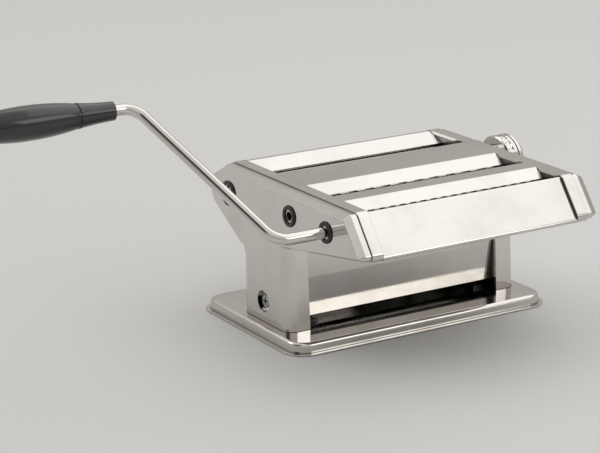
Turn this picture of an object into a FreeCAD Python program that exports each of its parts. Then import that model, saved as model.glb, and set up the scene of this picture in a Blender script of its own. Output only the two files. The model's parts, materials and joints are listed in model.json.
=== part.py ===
"""Hand-cranked pasta roller machine with smooth rollers and two fixed cutters.

The origin is under the middle of the base. X runs along the rollers, with the crank at the left, -X,
and the regulator knob at the right. Y points back and Z up. Sizes are in millimetres.
"""
import FreeCAD
import Part

import math
import os

# Base
base_side_margin = 10.5
base_depth = 132.0
base_height = 8.0
base_corner = 16.0
base_flange = 3.0
base_edge_round = 2.5
foot_radius = 6.0
foot_inset = 18.0

# Body: frames, covers and sheet
inner_width = 152.0
cover_depth = 17.5
cover_wall = 1.5
frame_plate = 2.0
sheet = 1.2
fit_gap = 0.2
run_gap = 0.05
rim_flat = 8.0
rim_step = 1.0
rim_bevel = 5.0
rim_bevel_drop = 2.4
rim_wall = 1.2
foot_cut = 1.0

# Side outline, as places along Y and Z
head_top = 106.4
pedestal_front = -36.0
pedestal_flare = 3.0
pedestal_rear = 22.0
column_round = 9.0
underside_front = 64.0
nose_y = -131.0
nose_z = 78.8
nose_round = 3.8
top_front_round = 5.0
top_rear_round = 6.0
rear_round = 8.0
rear_lower_round = 6.0
rear_slope_y = 59.5
rear_slope_z = 99.0
rear_y = 66.0
rear_z = 84.5
rear_lower_y = 60.0
rear_lower_z = 75.0
neck_z = 52.5
neck_round = 14.0

# Top of the head, as places along Y
chute_top_y = 45.0
roller_plate_rear = 2.0
roller_plate_front = -36.0
cutter_plate_rear = -66.7
cutter_plate_front = -82.0
front_cover_top = -110.0
hopper_lip = 8.0
chute_lip = 5.5

# Smooth rollers and their regulator
roller_radius = 13.5
roller_axis_y = 37.0
roller_axis_depth = 19.4
roller_gap_open = 2.8
roller_travel = 2.5
regulator_swing = 100.0
end_gap = 0.4
chute_gap = 0.6
roller_shaft_radius = 6.0
roller_bore_radius = 9.05
eccentric_radius = 7.5
eccentric_length = 12.0
eccentric_inset = 6.0
regulator_shaft_radius = 4.5
neck_wall = 2.0
roller_end_wall = 4.6
boss_gap = 1.0
boss_bite = 2.0
shaft_proud = 0.3

# Knob
knob_radius = 18.9
knob_hub_radius = 12.5
knob_hub_length = 12.5
knob_band = 9.0
knob_groove = 0.8
knob_length = 26.5
knob_recess_radius = 8.0
knob_pull = 3.0
knob_clear = 0.3
knob_edge = 1.0
knob_crown_drop = 1.6
spring_solid = 1.5
spring_wall = 0.8
dial_thickness = 1.5
dial_radius = 17.5
detent_radius = 8.8
detent_pin_radius = 1.4
detent_pin_hold = 2.5
knob_nut_radius = 7.0
knob_nut_length = 2.5
nut_recess = 1.5
flat_depth = 1.0

# Cutters
cutter_axis_depth = 16.4
cutter_spacing = 16.0
cutter_radius = 9.0
cutter_root_gap = 0.4
cutter_side_gap = 0.2
wide_strip = 6.5
wide_sides = 18
narrow_strip = 4.0
narrow_sides = 12
cutter_shaft_radius = 4.5
comb_thickness = 2.0
comb_gap = 1.4
comb_reach = 6.0
comb_back = 1.0
finger_gap = 0.5
outlet_half = 6.5
outlet_lip_gap = 0.8
sheet_bend = 2.0

# Gears
gear_width = 7.0
gear_start = 4.0
roller_teeth = 14
roller_module = 2.0
roller_addendum = 2.0
roller_dedendum = 3.2
roller_tooth = 1.6
cutter_teeth = 12
cutter_addendum = 1.2
cutter_dedendum = 1.7
cutter_tooth = 1.7

# Bushes, sockets and fasteners
bush_wall = 2.0
bush_flange = 1.5
bush_flange_thickness = 1.0
socket_radius = 3.1
socket_depth = 23.0
socket_slot = 2.6
socket_slot_depth = 5.0
grommet_wall = 1.6
grommet_flange = 1.0
grommet_flange_thickness = 1.2
grommet_edge = 0.4
tie_rod_radius = 4.0
tie_rod_end_radius = 2.5
lower_tie_y = -7.0
lower_tie_z = 22.0
upper_tie_y = -22.0
dimple_radius = 7.5
dimple_depth = 3.8
screw_radius = 2.5
screw_head_radius = 4.5
screw_head = 2.2
screw_bite = 10.0
screw_spare = 1.0
base_screw_radius = 2.0
base_screw_head_radius = 3.5
base_screw_head = 1.8
foot_flange = 12.0
panel_clear = 4.0
scraper_length = 9.0
scraper_gap = 0.5
scraper_lean = 12.0
scraper_turn = 30.0
front_panel_recess = 2.5
front_panel_fold = 42.0
front_panel_tuck = 2.0
front_panel_rise = 7.0
clamp_gap = 7.0
rear_panel_inset = 2.0
rear_panel_rise = 48.0

# Crank
crank_rod_radius = 3.75
crank_tip_radius = 3.0
crank_shoulder = 1.5
crank_out = 36.0
crank_arm_x = -45.0
crank_arm_y = 100.0
crank_arm_z = 72.0
crank_bend = 14.0
crank_stem = 15.0
crank_peg_radius = 1.1
crank_tip_spare = 1.0
spindle_radius = 3.0
grip_length = 100.0
grip_gap = 0.6
grip_start_radius = 6.25
grip_shoulder_radius = 8.4
grip_belly_radius = 11.3
grip_waist_radius = 9.0
grip_end_radius = 9.6
grip_shoulder_at = 25.0
grip_belly_at = 62.0
grip_waist_at = 89.0
grip_step = 0.7
grip_step_width = 1.5
grip_neck_hollow = 0.4
grip_belly_swell = 0.8
grip_waist_swell = 0.5
grip_end_swell = 1.4
grip_lip = 0.8
rivet_radius = 4.5
rivet_head = 2.0

# Places worked out from the sizes above
base_length = inner_width + 2 * (cover_depth + base_side_margin)
inner = inner_width / 2
plate_out = inner + frame_plate
cover_out = inner + cover_depth
cover_inner = cover_out - cover_wall
roller_z = head_top - roller_axis_depth
cutter_z = head_top - cutter_axis_depth
wide_nip = (roller_plate_front + cutter_plate_rear) / 2
narrow_nip = (cutter_plate_front + front_cover_top) / 2
half_swing = math.radians(regulator_swing / 2)
eccentric_throw = roller_travel / 2 / math.sin(half_swing)
adjust_y = roller_axis_y - 2 * roller_radius - roller_gap_open
regulator_y = adjust_y + roller_travel / 2
regulator_z = roller_z - eccentric_throw * (1 + math.cos(half_swing)) / 2
adjust_z = regulator_z + eccentric_throw * math.cos(half_swing)
roller_end = inner - end_gap
gear_near = inner + gear_start
gear_far = gear_near + gear_width
shaft_end = cover_out + shaft_proud
boss_start = gear_far + end_gap + boss_gap
underside_slope = (nose_z - underside_front) / (pedestal_front - nose_y)
knob_start = cover_out + dial_thickness + knob_clear
knob_end = knob_start + knob_length
nut_far = knob_end - nut_recess
spring_far = nut_far - knob_nut_length
knob_floor = spring_far - spring_solid - knob_pull
upper_tie_front = (cutter_plate_rear + cutter_plate_front) / 2
comb_low = cutter_z - cutter_radius - comb_gap - comb_thickness
lip_top = comb_low - outlet_lip_gap


def vec(x, y, z):
    """A point or direction."""
    return FreeCAD.Vector(x, y, z)


def underside(y):
    """Height of the head's sloped underside at a place along Y."""
    return underside_front + underside_slope * (pedestal_front - y)


def shifted(points, distance, closed):
    """Corners (y, z, bend radius) of a path moved to its left, with the bends kept concentric."""
    count = len(points)
    moved = []
    for i, (y, z, radius) in enumerate(points):
        ways = []
        if closed or i > 0:
            ways.append((points[i - 1], points[i]))
        if closed or i < count - 1:
            ways.append((points[i], points[(i + 1) % count]))
        dirs = []
        for start, stop in ways:
            length = math.hypot(stop[0] - start[0], stop[1] - start[1])
            dirs.append(((stop[0] - start[0]) / length, (stop[1] - start[1]) / length))
        first, last = dirs[0], dirs[-1]
        dot = first[0] * last[0] + first[1] * last[1]
        push = distance / (1 + dot)
        turn = first[0] * last[1] - first[1] * last[0]
        bend = radius - distance if turn > 0 else radius + distance
        bend = max(bend, 0.0) if radius > 0 else 0.0
        moved.append((y - push * (first[1] + last[1]), z + push * (first[0] + last[0]), bend))
    return moved


def path_edges(points, closed):
    """Straight runs and tangent arcs through corners (y, z, bend radius), in the plane of X = 0."""
    count = len(points)
    corners = []
    for i, (y, z, radius) in enumerate(points):
        here = vec(0, y, z)
        if radius <= 0 or (not closed and i in (0, count - 1)):
            corners.append((here, here, None))
            continue
        back = (vec(0, *points[i - 1][:2]) - here).normalize()
        ahead = (vec(0, *points[(i + 1) % count][:2]) - here).normalize()
        half = back.getAngle(ahead) / 2
        reach = radius / math.tan(half)
        centre = here + (back + ahead).normalize() * (radius / math.sin(half))
        middle = centre + (here - centre).normalize() * radius
        corners.append((here + back * reach, here + ahead * reach, middle))
    edges = []
    for i, (start, stop, middle) in enumerate(corners):
        if middle is not None:
            edges.append(Part.Arc(start, middle, stop).toShape())
        if closed or i < count - 1:
            edges.append(Part.makeLine(stop, corners[(i + 1) % count][0]))
    return edges, corners[0][0], corners[-1][1]


def outline_wire(points):
    """Closed wire through corners (y, z, bend radius)."""
    return Part.Wire(path_edges(points, True)[0])


def slab(points, x_start, x_stop):
    """Closed outline in Y and Z, carried along X."""
    face = Part.Face(outline_wire(points))
    face.translate(vec(x_start, 0, 0))
    return face.extrude(vec(x_stop - x_start, 0, 0))


def bevelled(points, x_start, inset_points, x_stop):
    """Ruled solid from one outline to its inset outline further along X."""
    near = outline_wire(points)
    near.translate(vec(x_start, 0, 0))
    far = outline_wire(inset_points)
    far.translate(vec(x_stop, 0, 0))
    return Part.makeLoft([near, far], True, True)


def bent_sheet(points, x_half, thickness=sheet):
    """Bent sheet between the frames: the path is its outer face, with the metal on its left."""
    outer, outer_start, outer_stop = path_edges(points, False)
    inner_edges, inner_start, inner_stop = path_edges(shifted(points, thickness, False), False)
    ends = [Part.makeLine(outer_stop, inner_stop), Part.makeLine(inner_start, outer_start)]
    wire = Part.Wire(Part.__sortEdges__(outer + inner_edges + ends))
    face = Part.Face(wire)
    face.translate(vec(-x_half, 0, 0))
    return face.extrude(vec(2 * x_half, 0, 0))


def rod_x(y, z, radius, x_start, x_stop):
    """Cylinder along X."""
    low = min(x_start, x_stop)
    return Part.makeCylinder(radius, abs(x_stop - x_start), vec(low, y, z), vec(1, 0, 0))


def ring_x(y, z, outer, bore, x_start, x_stop):
    """Tube along X."""
    return rod_x(y, z, outer, x_start, x_stop).cut(rod_x(y, z, bore, x_start, x_stop))


def turned_x(profile, y, z):
    """Solid turned about an axis along X from corners (x, radius)."""
    points = [vec(x, y, z + radius) for x, radius in profile]
    face = Part.Face(Part.makePolygon(points + points[:1]))
    return face.revolve(vec(0, y, z), vec(1, 0, 0), 360)


def prism_x(y, z, radius, sides, x_start, x_stop):
    """Many-sided bar along X."""
    turns = [2 * math.pi * i / sides for i in range(sides)]
    points = [vec(x_start, y + radius * math.cos(t), z + radius * math.sin(t)) for t in turns]
    face = Part.Face(Part.makePolygon(points + points[:1]))
    return face.extrude(vec(x_stop - x_start, 0, 0))


def box(x_range, y_range, z_range):
    """Block between pairs of places along each axis."""
    spans = [high - low for low, high in (x_range, y_range, z_range)]
    return Part.makeBox(*spans, vec(x_range[0], y_range[0], z_range[0]))


def mirrored(shape):
    """The same piece on the other side of the machine."""
    return shape.mirror(vec(0, 0, 0), vec(1, 0, 0))


def fused(shapes):
    """One solid from touching shapes, with the seams between flush faces taken out."""
    return shapes[0].multiFuse(shapes[1:]).removeSplitter()


def rounded_block(length, depth, height, corner):
    """Upright block centred on Z with rounded corners."""
    block = box((-length / 2, length / 2), (-depth / 2, depth / 2), (0, height))
    upright = [e for e in block.Edges if abs(e.BoundBox.ZLength - height) < 1e-6]
    return block.makeFillet(corner, upright)


def export(name, shapes):
    """Write one piece, or a group of alike pieces, to its own file."""
    shape = shapes[0] if len(shapes) == 1 else Part.makeCompound(shapes)
    shape.exportStep(f"parts/{name}.step")


def head_outline():
    """Side outline of the head, closed across the pedestal's neck, counter-clockwise from the front."""
    return [
        (pedestal_front, underside_front, 0.0),
        (pedestal_rear, neck_z, 0.0),
        (rear_lower_y, rear_lower_z, rear_lower_round),
        (rear_y, rear_z, rear_round),
        (rear_slope_y, rear_slope_z, rear_round),
        (chute_top_y, head_top, top_rear_round),
        (front_cover_top, head_top, top_front_round),
        (nose_y, nose_z, nose_round),
    ]


def column_outline(tuck):
    """Side outline of the pedestal's column, which runs up into the head, where its front may lean back."""
    rise = (rear_lower_z - neck_z) / (rear_lower_y - pedestal_rear)
    blend_y = pedestal_rear + 1.5 * neck_round
    blend_z = neck_z + rise * (blend_y - pedestal_rear)
    top = blend_z + 3 * column_round
    return [
        (pedestal_front - pedestal_flare, base_height, 0.0),
        (pedestal_rear, base_height, 0.0),
        (pedestal_rear, neck_z, neck_round),
        (blend_y, blend_z, 0.0),
        (blend_y, top, 0.0),
        (pedestal_front + tuck, top, 0.0),
        (pedestal_front, underside_front, 0.0),
    ]


def frame_outline(gap):
    """Side outline of an inner frame: the T shape, a wall and a gap inside the cover."""
    head = head_outline()
    moved = shifted(column_outline(0)[:3] + head[2:] + head[:1], gap, True)
    grounded = [(y, base_height, bend) for y, _, bend in moved[:2]]
    return grounded + moved[2:]


def cover_cavity():
    """Hollow of a right-hand cover, open towards the frame and down to the base."""
    shallow = rim_step + rim_wall
    deep = rim_step + rim_bevel_drop + rim_wall
    head = head_outline()
    return [
        slab(shifted(head, shallow, True), inner, cover_out - rim_bevel),
        slab(shifted(head, deep, True), inner, cover_inner),
        slab(sunk_column(shallow), inner, cover_out - column_round),
        slab(sunk_column(column_round), inner, cover_inner),
    ]


def sunk_column(gap):
    """Column outline moved inwards, with its foot carried below the top of the base."""
    moved = shifted(column_outline(0), gap, True)
    return [(y, base_height - foot_cut, bend) for y, _, bend in moved[:2]] + moved[2:]


def side_cover():
    """Right-hand cover: stepped and bevelled head rim, rounded column, hollow inside, screw dimple."""
    head = head_outline()
    stepped = shifted(head, rim_step, True)
    face = shifted(head, rim_step + rim_bevel_drop, True)
    bevel_start = cover_out - rim_bevel
    column = slab(column_outline(column_round), inner, cover_out)
    outer = [e for e in column.Edges if e.BoundBox.XMin > cover_out - 1e-6]
    upright = [e for e in outer if e.BoundBox.ZMin < base_height + 1e-6 and e.BoundBox.ZLength > 1.0]
    rear_bend = [e for e in outer if e.Curve.TypeId == "Part::GeomCircle"]
    column = column.makeFillet(column_round, upright + rear_bend)
    body = fused([
        slab(head, inner, inner + rim_flat),
        slab(stepped, inner + rim_flat, bevel_start),
        bevelled(stepped, bevel_start, face, cover_out),
        column,
    ])
    body = body.cut(fused(cover_cavity()))
    floor = cover_out - dimple_depth
    body = fused([body, rod_x(lower_tie_y, lower_tie_z, dimple_radius + sheet, floor - sheet, cover_inner)])
    body = body.cut(rod_x(lower_tie_y, lower_tie_z, dimple_radius, floor, cover_out))
    return body.cut(rod_x(lower_tie_y, lower_tie_z, screw_radius + fit_gap, inner, cover_out))


def socket_places():
    """Axes of the three driven shafts, with their shaft radius."""
    return [
        (roller_axis_y, roller_z, roller_shaft_radius),
        (wide_nip + cutter_spacing / 2, cutter_z, cutter_shaft_radius),
        (narrow_nip + cutter_spacing / 2, cutter_z, cutter_shaft_radius),
    ]


def grommet_outer(shaft_radius):
    """Radius of a grommet's neck, which is also its hole in the cover."""
    return shaft_radius + fit_gap + grommet_wall


def make_covers():
    """Both side covers, with the crank sockets' holes at the left and the regulator's at the right."""
    blank = side_cover()
    left = mirrored(blank)
    for y, z, shaft in socket_places():
        left = left.cut(rod_x(y, z, grommet_outer(shaft) + run_gap, -cover_inner + 1, -cover_out))
    boss = rod_x(regulator_y, regulator_z, regulator_shaft_radius + bush_wall, -boss_start, -cover_inner)
    left = fused([left, boss])
    boss_bore = regulator_shaft_radius + run_gap
    left = left.cut(rod_x(regulator_y, regulator_z, boss_bore, -boss_start, -cover_inner))
    right = blank.cut(
        rod_x(regulator_y, regulator_z, regulator_shaft_radius + fit_gap, cover_inner - 1, cover_out)
    )
    export("left_side_cover", [left])
    export("right_side_cover", [right])


def cutter_axes():
    """Axes along Y of the rear and front rollers of both cutters."""
    half = cutter_spacing / 2
    return [wide_nip + half, wide_nip - half, narrow_nip + half, narrow_nip - half]


def bush_places(side):
    """Axes and shaft radii of the bushes in one frame."""
    places = [(roller_axis_y, roller_z, roller_shaft_radius)]
    places += [(y, cutter_z, cutter_shaft_radius) for y in cutter_axes()]
    if side > 0:
        places.append((regulator_y, regulator_z, regulator_shaft_radius))
    return places


def bush_radius(shaft_radius):
    """Outer radius of a bush's sleeve."""
    return shaft_radius + run_gap + bush_wall


def upper_ties():
    """Places of the two tie rods inside the head."""
    return [(upper_tie_y, roller_z), (upper_tie_front, cutter_z)]


def roller_neck():
    """Outer radius of the adjustable roller's hollow neck."""
    return regulator_shaft_radius + eccentric_throw + end_gap + neck_wall


def make_frames():
    """Inner frames: T-shaped plates with bush holes and a flange that stands on the base."""
    front_end = pedestal_front + front_panel_recess + sheet + panel_clear
    rear_end = pedestal_rear - rear_panel_inset - sheet - panel_clear
    foot_z = (base_height, base_height + frame_plate)
    for side, name in ((-1, "left_side_frame"), (1, "right_side_frame")):
        plate = slab(frame_outline(rim_step + rim_wall + fit_gap), inner, plate_out)
        foot = box((inner - foot_flange, inner), (front_end, rear_end), foot_z)
        plate = fused([plate, foot])
        for y, z, shaft in bush_places(side):
            plate = plate.cut(rod_x(y, z, bush_radius(shaft), inner, plate_out))
        for y, z in upper_ties():
            plate = plate.cut(rod_x(y, z, tie_rod_end_radius + run_gap, inner, plate_out))
        plate = plate.cut(rod_x(lower_tie_y, lower_tie_z, screw_radius + run_gap, inner, plate_out))
        if side < 0:
            window = roller_neck() + roller_travel / 2 + end_gap
            middle_z = (adjust_z + regulator_z + eccentric_throw) / 2
            plate = plate.cut(rod_x(regulator_y, middle_z, window, inner, plate_out))
        for x, y in base_screw_places():
            if x > 0:
                hole = Part.makeCylinder(base_screw_radius + run_gap, 3 * frame_plate, vec(x, y, base_height))
                plate = plate.cut(hole)
        export(name, [plate if side > 0 else mirrored(plate)])


def base_screw_places():
    """Places of the screws that hold the frames' flanges to the base."""
    reach = (pedestal_rear - pedestal_front) / 4
    middle = (pedestal_rear + pedestal_front) / 2
    x = inner - foot_flange / 2
    return [(sx * x, middle + sy * reach) for sx in (-1, 1) for sy in (-1, 1)]


def make_base():
    """Pressed base shell with a flat flange round its foot, its rubber feet and its screws."""
    top_length = base_length - 2 * base_flange
    top_depth = base_depth - 2 * base_flange
    top_corner = base_corner - base_flange
    raised = rounded_block(top_length, top_depth, base_height, top_corner)
    rim = [e for e in raised.Edges if e.BoundBox.ZMin > base_height - 1e-6]
    raised = raised.makeFillet(base_edge_round, rim)
    shell = fused([rounded_block(base_length, base_depth, sheet, base_corner), raised])
    ceiling = base_height - sheet
    hollow = rounded_block(top_length - 2 * sheet, top_depth - 2 * sheet, ceiling, top_corner - sheet)
    shell = shell.cut(hollow)
    screws = []
    for x, y in base_screw_places():
        shell = shell.cut(Part.makeCylinder(base_screw_radius + fit_gap, base_height, vec(x, y, 0)))
        head_z = ceiling - base_screw_head
        head = Part.makeCylinder(base_screw_head_radius, base_screw_head, vec(x, y, head_z))
        shank = Part.makeCylinder(base_screw_radius, sheet + 2 * frame_plate, vec(x, y, ceiling))
        screws.append(fused([head, shank]))
    feet_x = base_length / 2 - foot_inset
    feet_y = base_depth / 2 - foot_inset
    feet = [
        Part.makeCylinder(foot_radius, ceiling, vec(sx * feet_x, sy * feet_y, 0))
        for sx in (-1, 1) for sy in (-1, 1)
    ]
    export("base_plate", [shell])
    export("base_screws", screws)
    export("rubber_feet", feet)


def make_pedestal_panels():
    """Front panel with its fold and the clamp slot below it, and the plain rear panel."""
    face = pedestal_front + front_panel_recess
    front = [
        (face + front_panel_tuck, base_height + clamp_gap, 0.0),
        (face, front_panel_fold, 0.0),
        (face, underside_front + front_panel_rise, 0.0),
    ]
    export("front_panel", [bent_sheet(front[::-1], inner)])
    back = pedestal_rear - rear_panel_inset
    rear = [(back, base_height, 0.0), (back, rear_panel_rise, 0.0)]
    export("rear_panel", [bent_sheet(rear, inner)])


def guide_end(top_y, axis_y, axis_z, radius):
    """Lower end of a sloped guide from the top of the head, where its sheet clears the top of a roller."""
    clear = radius + chute_gap + sheet
    away_y = axis_y - top_y
    away_z = axis_z - head_top
    reach = math.hypot(away_y, away_z)
    lean = math.atan2(-away_y, -away_z) + math.asin(clear / reach)
    run = math.sqrt(reach ** 2 - clear ** 2)
    return top_y - run * math.sin(lean), head_top - run * math.cos(lean), 0.0


def make_head_plates():
    """Sheet pieces between the frames: chute, top plates, front cover and underside plates."""
    rear_cover = [
        (rear_lower_y, rear_lower_z, 0.0),
        (rear_y, rear_z, rear_round),
        (rear_slope_y, rear_slope_z, rear_round),
        (chute_top_y, head_top, top_rear_round),
        guide_end(chute_top_y, roller_axis_y, roller_z, roller_radius),
    ]
    export("rear_head_cover", [bent_sheet(rear_cover, inner)])
    roller_plate = [
        (roller_plate_rear, head_top - chute_lip, 0.0),
        (roller_plate_rear, head_top, sheet_bend),
        (roller_plate_front, head_top, sheet_bend),
        guide_end(roller_plate_front, wide_nip + cutter_spacing / 2, cutter_z, cutter_radius),
    ]
    export("roller_top_plate", [bent_sheet(roller_plate, inner)])
    cutter_plate = [
        (cutter_plate_rear, head_top - hopper_lip, 0.0),
        (cutter_plate_rear, head_top, sheet_bend),
        (cutter_plate_front, head_top, sheet_bend),
        guide_end(cutter_plate_front, narrow_nip + cutter_spacing / 2, cutter_z, cutter_radius),
    ]
    export("cutter_top_plate", [bent_sheet(cutter_plate, inner)])
    front_out = narrow_nip - outlet_half
    front_cover = [
        (front_cover_top, head_top - hopper_lip, 0.0),
        (front_cover_top, head_top, sheet_bend),
        (nose_y, nose_z, nose_round),
        (front_out, underside(front_out), sheet_bend),
        (front_out, lip_top, 0.0),
    ]
    export("front_head_cover", [bent_sheet(front_cover, inner)])
    wide_front = wide_nip - outlet_half
    narrow_rear = narrow_nip + outlet_half
    middle = [
        (wide_front, lip_top, 0.0),
        (wide_front, underside(wide_front), sheet_bend),
        (narrow_rear, underside(narrow_rear), sheet_bend),
        (narrow_rear, lip_top, 0.0),
    ]
    export("middle_underside_plate", [bent_sheet(middle[::-1], inner)])
    wide_rear = wide_nip + outlet_half
    panel_face = pedestal_front + front_panel_recess - 2 * fit_gap
    rear = [
        (panel_face, underside(panel_face), 0.0),
        (wide_rear, underside(wide_rear), sheet_bend),
        (wide_rear, lip_top, 0.0),
    ]
    export("rear_underside_plate", [bent_sheet(rear[::-1], inner)])


def gear(y, z, teeth, pitch_radius, addendum, dedendum, tooth, bore, phase):
    """Spur gear on the left-hand shafts, with flanks that narrow from root to tip."""
    root = pitch_radius - dedendum
    tip = pitch_radius + addendum
    slope = math.tan(math.radians(20))
    corners = []
    for i in range(teeth):
        middle = phase + 2 * math.pi * i / teeth
        root_half = (tooth / 2 + dedendum * slope) / root
        pitch_half = tooth / 2 / pitch_radius
        tip_half = (tooth / 2 - addendum * slope) / tip
        for radius, turn in (
            (root, -root_half), (pitch_radius, -pitch_half), (tip, -tip_half),
            (tip, tip_half), (pitch_radius, pitch_half), (root, root_half),
        ):
            corners.append((y + radius * math.cos(middle + turn), z + radius * math.sin(middle + turn)))
    points = [vec(-gear_far, *corner) for corner in corners]
    blank = Part.Face(Part.makePolygon(points + points[:1])).extrude(vec(gear_width, 0, 0))
    return blank.cut(rod_x(y, z, bore, -gear_far, -gear_near))


def socketed(shaft, y, z, tilt):
    """A driven shaft's left end with the crank's socket and its peg slot."""
    bore = rod_x(y, z, socket_radius, -shaft_end, -shaft_end + socket_depth)
    half = socket_slot / 2
    slot = box((-shaft_end, -shaft_end + socket_slot_depth), (y - half, y + half), (z, z + roller_radius))
    slot.rotate(vec(0, y, z), vec(1, 0, 0), tilt)
    return shaft.cut(bore).cut(slot)


def make_smooth_rollers():
    """Fixed and adjustable smooth rollers with their gears."""
    fixed = fused([
        rod_x(roller_axis_y, roller_z, roller_radius, -roller_end, roller_end),
        rod_x(roller_axis_y, roller_z, roller_shaft_radius, -shaft_end, plate_out + bush_flange_thickness),
    ])
    export("fixed_smooth_roller", [socketed(fixed, roller_axis_y, roller_z, 0)])
    pitch = roller_teeth * roller_module / 2
    sizes = (roller_teeth, pitch, roller_addendum, roller_dedendum, roller_tooth)
    export("fixed_roller_gear", [gear(roller_axis_y, roller_z, *sizes, roller_shaft_radius, 0)])
    neck = roller_neck()
    wall = roller_end - roller_end_wall
    tube = [
        (roller_end, roller_bore_radius), (roller_end, roller_radius), (-roller_end, roller_radius),
        (-roller_end, neck), (-gear_far, neck), (-gear_far, neck - neck_wall),
        (-wall, neck - neck_wall), (-wall, roller_bore_radius),
    ]
    export("adjustable_smooth_roller", [turned_x(tube, adjust_y, adjust_z)])
    half_tooth = math.pi / roller_teeth
    export("adjustable_roller_gear", [gear(adjust_y, adjust_z, *sizes, neck, half_tooth)])


def eccentric_spans():
    """Spans along X of the two eccentrics inside the roller's ends."""
    stop = roller_end - eccentric_inset
    start = stop - eccentric_length
    return [(-stop, -start), (start, stop)]


def make_regulator():
    """Regulator shaft, eccentrics, floating bushes, dial, knob, spring and detent pin."""
    shaft = rod_x(regulator_y, regulator_z, regulator_shaft_radius, -boss_start - boss_bite, nut_far)
    side = 2 * regulator_shaft_radius
    flat_y = (regulator_y - side, regulator_y + side)
    flat_z = regulator_z + regulator_shaft_radius - flat_depth
    shaft = shaft.cut(box((knob_start, knob_end), flat_y, (flat_z, flat_z + side)))
    nut = rod_x(regulator_y, regulator_z, knob_nut_radius, spring_far, nut_far)
    export("regulator_shaft", [fused([shaft, nut])])
    eccentrics = []
    bushes = []
    for start, stop in eccentric_spans():
        disc = rod_x(adjust_y, adjust_z, eccentric_radius, start, stop)
        eccentrics.append(disc.cut(rod_x(regulator_y, regulator_z, regulator_shaft_radius, start, stop)))
        bushes.append(
            ring_x(adjust_y, adjust_z, roller_bore_radius - run_gap, eccentric_radius + run_gap, start, stop)
        )
    export("regulator_eccentrics", eccentrics)
    export("eccentric_bushes", bushes)
    head = knob_start + knob_hub_length
    groove = head + knob_band
    knob = turned_x([
        (knob_start, 0), (knob_start, knob_hub_radius), (head, knob_hub_radius),
        (head, knob_radius - knob_edge), (head + knob_edge, knob_radius), (groove, knob_radius),
        (groove, knob_radius - knob_groove), (groove + knob_groove, knob_radius - knob_groove),
        (groove + knob_groove, knob_radius), (knob_end - 2 * knob_edge, knob_radius),
        (knob_end, knob_radius - knob_crown_drop), (knob_end, knob_recess_radius),
        (knob_floor, knob_recess_radius), (knob_floor, 0),
    ], regulator_y, regulator_z)
    bore = rod_x(regulator_y, regulator_z, regulator_shaft_radius + run_gap, knob_start, knob_floor)
    key_z = flat_z + run_gap
    knob = knob.cut(bore.cut(box((knob_start, knob_floor), flat_y, (key_z, key_z + side))))
    pin_z = regulator_z + detent_radius
    pin_x = (cover_out + fit_gap, knob_start + detent_pin_hold)
    export("regulator_knob", [knob.cut(rod_x(regulator_y, pin_z, detent_pin_radius, *pin_x))])
    export("detent_pin", [rod_x(regulator_y, pin_z, detent_pin_radius, *pin_x)])
    wide_end = knob_recess_radius - fit_gap
    spring = turned_x([
        (knob_floor, wide_end - spring_wall), (knob_floor, wide_end),
        (spring_far, knob_nut_radius), (spring_far, knob_nut_radius - spring_wall),
    ], regulator_y, regulator_z)
    export("knob_spring", [spring])
    dial_x = (cover_out, cover_out + dial_thickness)
    dial = ring_x(regulator_y, regulator_z, dial_radius, regulator_shaft_radius + fit_gap, *dial_x)
    export("dial_ring", [dial.cut(dial_slot())])


def dial_slot():
    """Curved slot in the dial that the detent pin runs in, with round ends."""
    half = detent_pin_radius + end_gap
    x_span = (cover_out, cover_out + dial_thickness)
    band = ring_x(regulator_y, regulator_z, detent_radius + half, detent_radius - half, *x_span)
    wedge = Part.makeCylinder(
        detent_radius + 2 * half, dial_thickness, vec(cover_out, regulator_y, regulator_z), vec(1, 0, 0),
        regulator_swing
    )
    middle = wedge.CenterOfMass
    lean = math.degrees(math.atan2(middle.y - regulator_y, middle.z - regulator_z))
    wedge.rotate(vec(0, regulator_y, regulator_z), vec(1, 0, 0), lean - regulator_swing / 2)
    ends = []
    for turn in (0.0, math.radians(regulator_swing)):
        y = regulator_y + detent_radius * math.sin(turn)
        z = regulator_z + detent_radius * math.cos(turn)
        ends.append(rod_x(y, z, half, *x_span))
    return fused([band.common(wedge)] + ends)


def ring_places(strip, offset):
    """Middles along X of the rings on one cutter roller, spaced two strips apart."""
    reach = roller_end - strip / 2
    count = int(reach / (2 * strip))
    places = [offset + 2 * strip * i for i in range(-count - 1, count + 2)]
    return [x for x in places if abs(x) <= reach + 1e-6]


def cutter_roller(y, strip, sides, offset, left_end):
    """Cutter roller: a core between plain journals with square-edged rings."""
    core = cutter_spacing - cutter_radius - cutter_root_gap
    half = strip / 2 - cutter_side_gap
    parts = [
        prism_x(y, cutter_z, core, sides, -roller_end, roller_end),
        rod_x(y, cutter_z, cutter_shaft_radius, -left_end, plate_out + bush_flange_thickness),
    ]
    parts += [
        prism_x(y, cutter_z, cutter_radius, sides, x - half, x + half) for x in ring_places(strip, offset)
    ]
    return fused(parts)


def comb(y, strip, offset, back):
    """Comb under a cutter roller: a bar between the frames with a finger in each groove."""
    top = comb_low + comb_thickness
    low_y, high_y = sorted((y - back * comb_back, y + back * comb_reach))
    shapes = [box((-inner, inner), (low_y, high_y), (comb_low, top))]
    half = strip / 2 - cutter_side_gap - finger_gap
    core = cutter_spacing - cutter_radius - cutter_root_gap
    finger_y = sorted((y - back * comb_back, y + back * comb_reach / 2))
    for x in ring_places(strip, offset + strip):
        finger = box((x - half, x + half), finger_y, (top - comb_thickness / 2, cutter_z))
        shapes.append(finger.cut(rod_x(y, cutter_z, core + finger_gap, x - half, x + half)))
    return fused(shapes)


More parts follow.
